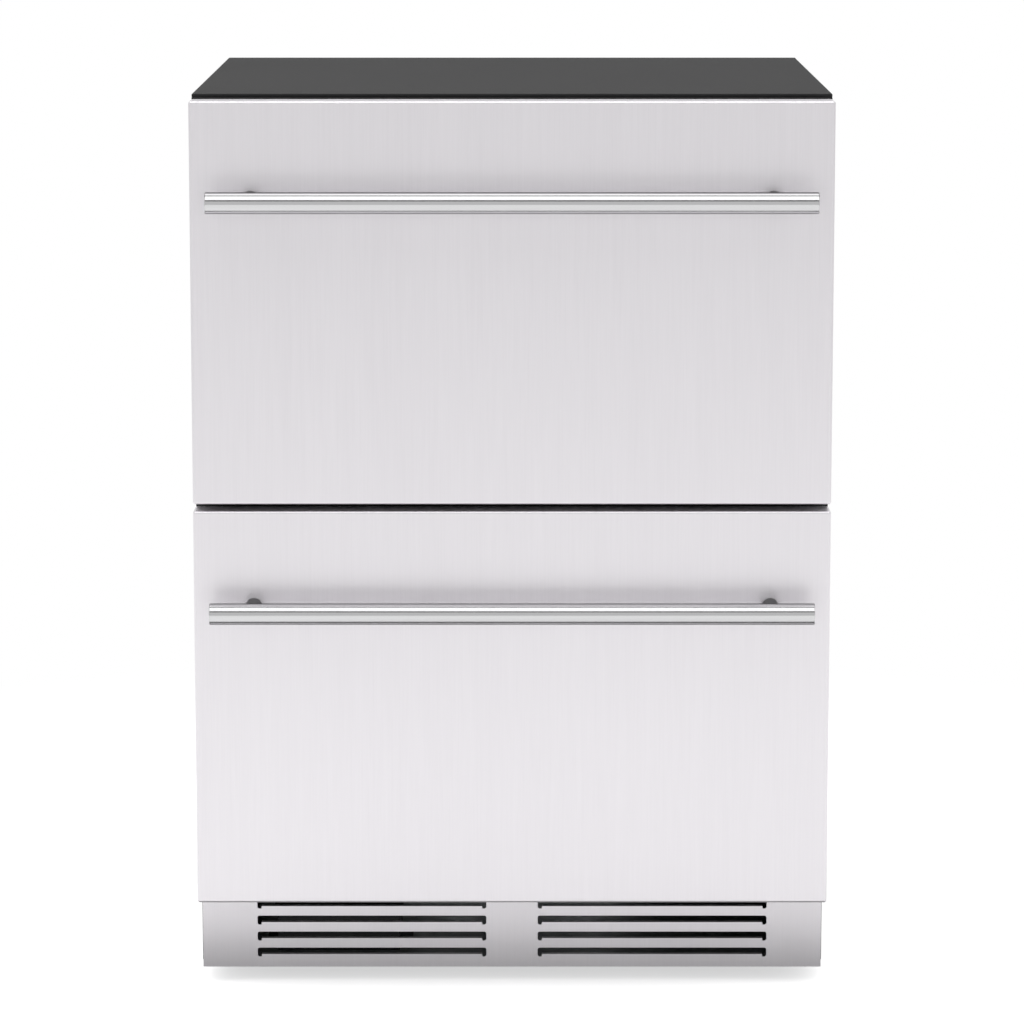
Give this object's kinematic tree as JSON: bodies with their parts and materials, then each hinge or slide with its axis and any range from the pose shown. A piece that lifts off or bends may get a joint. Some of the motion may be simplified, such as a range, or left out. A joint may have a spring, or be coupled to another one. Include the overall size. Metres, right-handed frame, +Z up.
{
  "type": "undercounter drawer refrigerator",
  "caption": "Freestanding undercounter refrigerator whose stainless drawer fronts, with full-width bar handles, pull bins out of an insulated cabinet above a louvred kick plate.",
  "frame": {"origin": "on the floor, under the middle of the whole, handles included", "axes": "+Z up, +X to the right for someone facing the drawers, -Y out of the drawer fronts towards that person"},
  "size_m": [0.605, 0.655, 0.867],
  "materials": {
    "stainless_front": "vertically brushed stainless sheet, bright, with soft reflections",
    "stainless_bar": "satin stainless tube, finer and glossier than the fronts",
    "cabinet_paint": "fine-textured dark grey powder coat",
    "black_paint": "satin black paint",
    "galvanised": "galvanised sheet, matt, faintly spangled",
    "zinc": "bright zinc-plated steel",
    "coil_aluminium": "mill-finish aluminium",
    "copper": "drawn copper tube",
    "liner_plastic": "white thermoformed plastic, satin gloss",
    "bin_plastic": "clear moulded plastic, faintly grey",
    "black_plastic": "black moulded plastic, fine texture",
    "gasket": "soft grey extruded seal",
    "foam": "cream rigid foam, open skin"
  },
  "bodies": {
    "root": {"kick_plate": "stainless_front", "top_panel": "cabinet_paint", "left_side_panel": "cabinet_paint", "right_side_panel": "cabinet_paint", "front_frame": "black_paint", "compressor": "black_paint", "rear_panel": "galvanised", "machine_bay_cover": "galvanised", "base_pan": "galvanised", "cabinet_floor": "galvanised", "upper_left_slide_outer": "zinc", "upper_right_slide_outer": "zinc", "lower_left_slide_outer": "zinc", "lower_right_slide_outer": "zinc", "evaporator_coil": "coil_aluminium", "condenser_coil": "copper", "liquid_line": "copper", "inner_liner": "liner_plastic", "evaporator_cover": "liner_plastic", "control_panel": "black_plastic", "evaporator_fan_motor": "black_plastic", "condenser_fan_shroud": "black_plastic", "drain_pan": "black_plastic", "control_box": "black_plastic", "power_gland": "black_plastic", "cabinet_insulation": "foam"},
    "upper_drawer": {"upper_front_skin": "stainless_front", "upper_front_foam": "foam", "upper_door_liner": "liner_plastic", "upper_gasket": "gasket", "upper_handle_bar": "stainless_bar", "upper_left_standoff": "stainless_bar", "upper_right_standoff": "stainless_bar", "upper_drawer_frame": "galvanised", "upper_bin": "bin_plastic", "upper_left_slide_inner": "zinc", "upper_right_slide_inner": "zinc"},
    "upper_carriage": {"upper_left_slide_middle": "zinc", "upper_right_slide_middle": "zinc"},
    "upper_divider": {"upper_divider": "bin_plastic"},
    "lower_drawer": {"lower_front_skin": "stainless_front", "lower_front_foam": "foam", "lower_door_liner": "liner_plastic", "lower_gasket": "gasket", "lower_handle_bar": "stainless_bar", "lower_left_standoff": "stainless_bar", "lower_right_standoff": "stainless_bar", "lower_drawer_frame": "galvanised", "lower_bin": "bin_plastic", "lower_left_slide_inner": "zinc", "lower_right_slide_inner": "zinc"},
    "lower_carriage": {"lower_left_slide_middle": "zinc", "lower_right_slide_middle": "zinc"},
    "lower_divider": {"lower_divider": "bin_plastic"},
    "condenser_fan": {"condenser_fan_rotor": "black_plastic"},
    "evaporator_fan": {"evaporator_fan_rotor": "black_plastic"},
    "front_left_leg": {"front_left_leg": "zinc"},
    "front_right_leg": {"front_right_leg": "zinc"},
    "rear_left_leg": {"rear_left_leg": "zinc"},
    "rear_right_leg": {"rear_right_leg": "zinc"}
  },
  "joints": [
    {"name": "upper_drawer_slide", "type": "slide", "parent": "root", "child": "upper_drawer", "axis": [0, -1, 0], "range_m": [0, 0.42]},
    {"name": "upper_carriage_slide", "type": "slide", "parent": "root", "child": "upper_carriage", "axis": [0, -1, 0], "range_m": [0, 0.21]},
    {"name": "upper_divider_slide", "type": "slide", "parent": "upper_drawer", "child": "upper_divider", "axis": [1, 0, 0], "range_m": [-0.2, 0.2]},
    {"name": "lower_drawer_slide", "type": "slide", "parent": "root", "child": "lower_drawer", "axis": [0, -1, 0], "range_m": [0, 0.42]},
    {"name": "lower_carriage_slide", "type": "slide", "parent": "root", "child": "lower_carriage", "axis": [0, -1, 0], "range_m": [0, 0.21]},
    {"name": "lower_divider_slide", "type": "slide", "parent": "lower_drawer", "child": "lower_divider", "axis": [1, 0, 0], "range_m": [-0.2, 0.2]},
    {"name": "condenser_fan_spin", "type": "hinge", "parent": "root", "child": "condenser_fan", "pos_m": [-0.12, 0.22745, 0.1188], "axis": [1, 0, 0], "continuous": true},
    {"name": "evaporator_fan_spin", "type": "hinge", "parent": "root", "child": "evaporator_fan", "pos_m": [0, 0.234, 0.7], "axis": [0, -1, 0], "continuous": true},
    {"name": "front_left_leg_height", "type": "slide", "parent": "root", "child": "front_left_leg", "axis": [0, 0, -1], "range_m": [0, 0.022]},
    {"name": "front_right_leg_height", "type": "slide", "parent": "root", "child": "front_right_leg", "axis": [0, 0, -1], "range_m": [0, 0.022]},
    {"name": "rear_left_leg_height", "type": "slide", "parent": "root", "child": "rear_left_leg", "axis": [0, 0, -1], "range_m": [0, 0.022]},
    {"name": "rear_right_leg_height", "type": "slide", "parent": "root", "child": "rear_right_leg", "axis": [0, 0, -1], "range_m": [0, 0.022]}
  ],
  "couplings": [
    {"joint": "upper_carriage_slide", "follows": "upper_drawer_slide", "ratio": 0.5},
    {"joint": "lower_carriage_slide", "follows": "lower_drawer_slide", "ratio": 0.5}
  ]
}
